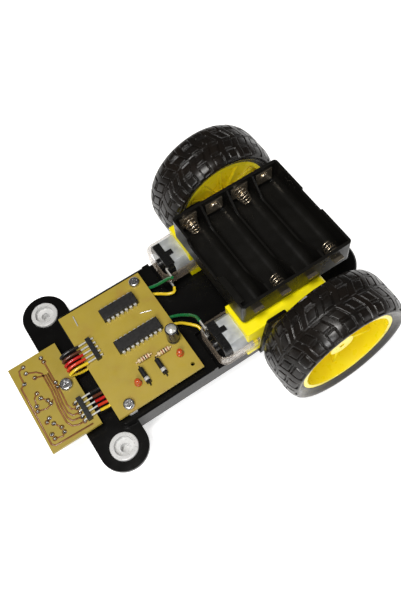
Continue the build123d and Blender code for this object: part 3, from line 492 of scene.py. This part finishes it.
# ---- sensor board -------------------------------------------------------------------------------
PADS = (
    (130.7, -18.6), (130.9, -14.9), (128.2, -10.4), (134.0, -10.4),
    (131.0, -2.6), (130.5, 0.4), (128.1, 3.4), (127.6, 5.6), (133.9, 3.1), (134.5, 5.6),
    (131.5, 11.6), (133.3, 12.9), (130.9, 15.1), (128.6, 18.9), (128.6, 21.5), (134.0, 19.3), (133.7, 21.9),
    (121.2, -18.1), (120.9, -15.4), (120.9, -2.5), (121.1, 0.1),
)
TRACKS = (                # width, then the places it runs through
    (0.9, (130.7, -18.6), (133.2, -17.8), (133.9, -15.6), (134.0, -10.4), (136.2, -9.2), (136.3, 23.4),
     (134.9, 24.9), (115.4, 25.6)),
    (0.9, (130.9, -14.9), (126.4, -12.7), (124.4, -10.4), (124.4, 0.0), (125.6, 10.0), (125.6, 18.0),
     (124.2, 21.0), (121.4, 22.3), (118.2, 22.4)),
    (0.9, (128.2, -10.4), (123.2, -8.6), (123.2, 1.0), (124.3, 9.8), (124.3, 16.2), (122.9, 19.0),
     (118.2, 19.9)),
    (0.9, (122.0, -9.0), (122.0, 0.6), (123.0, 8.8), (123.0, 14.0), (121.7, 16.7), (118.2, 17.4)),
    (0.9, (121.2, -18.1), (120.9, -14.0), (121.0, 5.0), (121.5, 10.6), (120.6, 13.8), (118.2, 14.9)),
    (0.8, (131.0, -2.6), (133.0, -1.2), (133.9, 3.1)),
    (0.8, (134.5, 5.6), (130.0, 6.9), (127.6, 5.6), (125.8, 4.4)),
    (0.8, (130.5, 0.4), (128.1, 3.4)),
    (0.8, (131.5, 11.6), (133.3, 12.9)),
    (0.8, (130.9, 15.1), (128.6, 18.9)),
    (0.8, (133.7, 21.9), (130.0, 23.0), (128.6, 21.5)),
)


def sensor_tracks():
    """The copper side's tracks, from the pads round the sensors to the header and along the border."""
    low, high = SENSOR_TOP - FOIL, SENSOR_TOP + 0.035
    return joined([track_strip(places, width, low, high) for width, *places in TRACKS])


def solder_pads():
    """Round copper pads with a shining dome of solder on each, of uneven widths."""
    pads, blobs = [], []
    places = list(PADS) + [(SENSOR_HEADER_X, SENSOR_HEADER_Y + (i - 2) * PITCH) for i in range(5)]
    for n, (x, y) in enumerate(places):
        wide = 1.0 + 0.16 * math.sin(n * 2.7)
        top = SENSOR_TOP + 0.04
        pads.append(lathe([(PAD_R, SENSOR_TOP - FOIL), (PAD_R, top)], (x, y, 0), steps=20))
        dome = [(wide, top), (wide * 0.86, top + 0.28), (wide * 0.5, top + 0.6),
                (0.3, top + 0.9), (0.08, top + 1.0)]
        blobs.append(lathe(dome, (x, y, 0), steps=20))
    return joined(pads), joined(blobs)


copper_pads, solder_blobs = solder_pads()
for name, shape, material in (
    ("sensor_tracks", sensor_tracks(), "copper"),
    ("sensor_pads", copper_pads, "copper"),
    ("sensor_solder", solder_blobs, "solder"),
):
    piece(name, *shape, material)


# ---- marks on the small components ----------------------------------------------------------------
def disc_on(x, y, z, r, thick):
    """A thin disc whose underside is at z."""
    return lathe([(r, z), (r, z + thick)], (x, y, 0))


def collar(x, y, z, r, low, high, axis):
    """A thin coloured ring round a small round body."""
    return lathe([(r, low), (r + 0.03, low + 0.02), (r + 0.03, high - 0.02), (r, high)], (x, y, z), axis, 24)


def component_marks():
    """Pale and coloured marks: the capacitor's bare top and stripe, resistor and diode bands."""
    stripe = []
    for i in range(7):
        a0, a1 = math.radians(-70 + i * 7), math.radians(-70 + (i + 1) * 7)
        corners = [(CAP_STRIPE_R * math.cos(a), CAP_STRIPE_R * math.sin(a)) for a in (a0, a1)]
        quad = [put(CAP_X + x, CAP_Y + y, z) for x, y in corners for z in (BOARD_TOP + 2.6, CAP_TOP - 0.6)]
        stripe.append((quad, [(0, 2, 3, 1)]))
    yield "capacitor_top", disc_on(CAP_X, CAP_Y, CAP_TOP - 0.01, 2.55, 0.06), "tin", "capacitor_sleeve"
    yield "capacitor_stripe", joined(stripe), "stripe", "capacitor_sleeve"
    z = BOARD_TOP + RESISTOR_MIDDLE
    for n, (x, y) in enumerate(RESISTORS):
        for k, shade in enumerate(("band", "diode", "band", "gold")):
            low = -2.3 + 1.25 * k
            name = "resistor_%d_band_%d" % (n, k)
            yield name, collar(x, y, z, RESISTOR_R, low, low + 0.55, "x"), shade, "resistor_beige"
    z = BOARD_TOP + DIODE_MIDDLE
    for n, (x, y) in enumerate(DIODES):
        yield "diode_%d_band" % n, collar(x, y, z, DIODE_R, 1.3, 3.1, "y"), "band_pale", "diode_black"


for name, shape, material, cad_slot in component_marks():
    piece(name, *shape, material)


# ---- camera, light and floor --------------------------------------------------------------------
def add_camera():
    """The camera, rolled a little about its line of sight."""
    data = bpy.data.cameras.new("camera")
    data.lens = CAMERA_LENS
    data.sensor_width = 36.0
    camera = bpy.data.objects.new("camera", data)
    bpy.context.collection.objects.link(camera)
    aim = (CAMERA_TARGET - CAMERA_PLACE).to_track_quat("-Z", "Y").to_matrix().to_4x4()
    camera.matrix_world = Matrix.Translation(CAMERA_PLACE) @ aim @ Matrix.Rotation(CAMERA_ROLL, 4, "Z")
    bpy.context.scene.camera = camera


def add_light(name, place, target, size, power, colour=(1, 1, 1)):
    """A rectangular lamp at a place, turned to a target."""
    data = bpy.data.lights.new(name, "AREA")
    data.shape = "RECTANGLE"
    data.size, data.size_y = size
    data.energy = power
    data.color = colour
    light = bpy.data.objects.new(name, data)
    light.location = place
    light.rotation_euler = (Vector(target) - Vector(place)).to_track_quat("-Z", "Y").to_euler()
    bpy.context.collection.objects.link(light)


def add_world():
    """White where the camera sees it, and a faint warm glow on everything else."""
    world = bpy.data.worlds.new("studio")
    world.use_nodes = True
    nodes, links = world.node_tree.nodes, world.node_tree.links
    seen = nodes["Background"]
    seen.inputs["Color"].default_value = (1, 1, 1, 1)
    seen.inputs["Strength"].default_value = 1.0
    soft = nodes.new("ShaderNodeBackground")
    soft.inputs["Color"].default_value = (1.0, 0.97, 0.94, 1)
    soft.inputs["Strength"].default_value = 0.06
    ray = nodes.new("ShaderNodeLightPath")
    mix = nodes.new("ShaderNodeMixShader")
    links.new(ray.outputs["Is Camera Ray"], mix.inputs["Fac"])
    links.new(soft.outputs["Background"], mix.inputs[1])
    links.new(seen.outputs["Background"], mix.inputs[2])
    links.new(mix.outputs["Shader"], nodes["World Output"].inputs["Surface"])
    bpy.context.scene.world = world


def add_floor():
    """A broad white floor just under the wheels, bright enough to fade into the backdrop."""
    mat, nodes, links, shader = new_material("floor_white")
    stops = ((0.3, (0.93, 0.93, 0.93)), (0.7, (0.95, 0.95, 0.95)))
    tone = ramp(nodes, links, noise(nodes, links, 90.0, 2.0), stops)
    links.new(tone, shader.inputs["Base Color"])
    shader.inputs["Roughness"].default_value = 0.9
    shader.inputs["Specular IOR Level"].default_value = 0.0
    shader.inputs["Emission Color"].default_value = (1, 1, 1, 1)
    shader.inputs["Emission Strength"].default_value = 0.62
    mesh = bpy.data.meshes.new("floor")
    half = 4.0
    corners = [(-half, -half, 0), (half, -half, 0), (half, half, 0), (-half, half, 0)]
    mesh.from_pydata(corners, [], [(0, 1, 2, 3)])
    mesh.materials.append(mat)
    floor = bpy.data.objects.new("floor", mesh)
    floor.location.z = -0.0002
    bpy.context.collection.objects.link(floor)


add_camera()
add_world()
add_floor()
add_light("key", (0.20, 0.10, 0.95), (0.0, 0.0, 0.0), (0.28, 0.28), 6.3, (1, 0.98, 0.95))
add_light("fill", (0.30, 0.38, 0.55), (0.0, 0.0, 0.0), (0.20, 0.20), 2.0)
add_light("rim_light", (-0.5, 0.5, 0.35), (0.0, 0.0, 0.02), (0.25, 0.4), 0.7)
bpy.context.scene.view_settings.view_transform = "Standard"
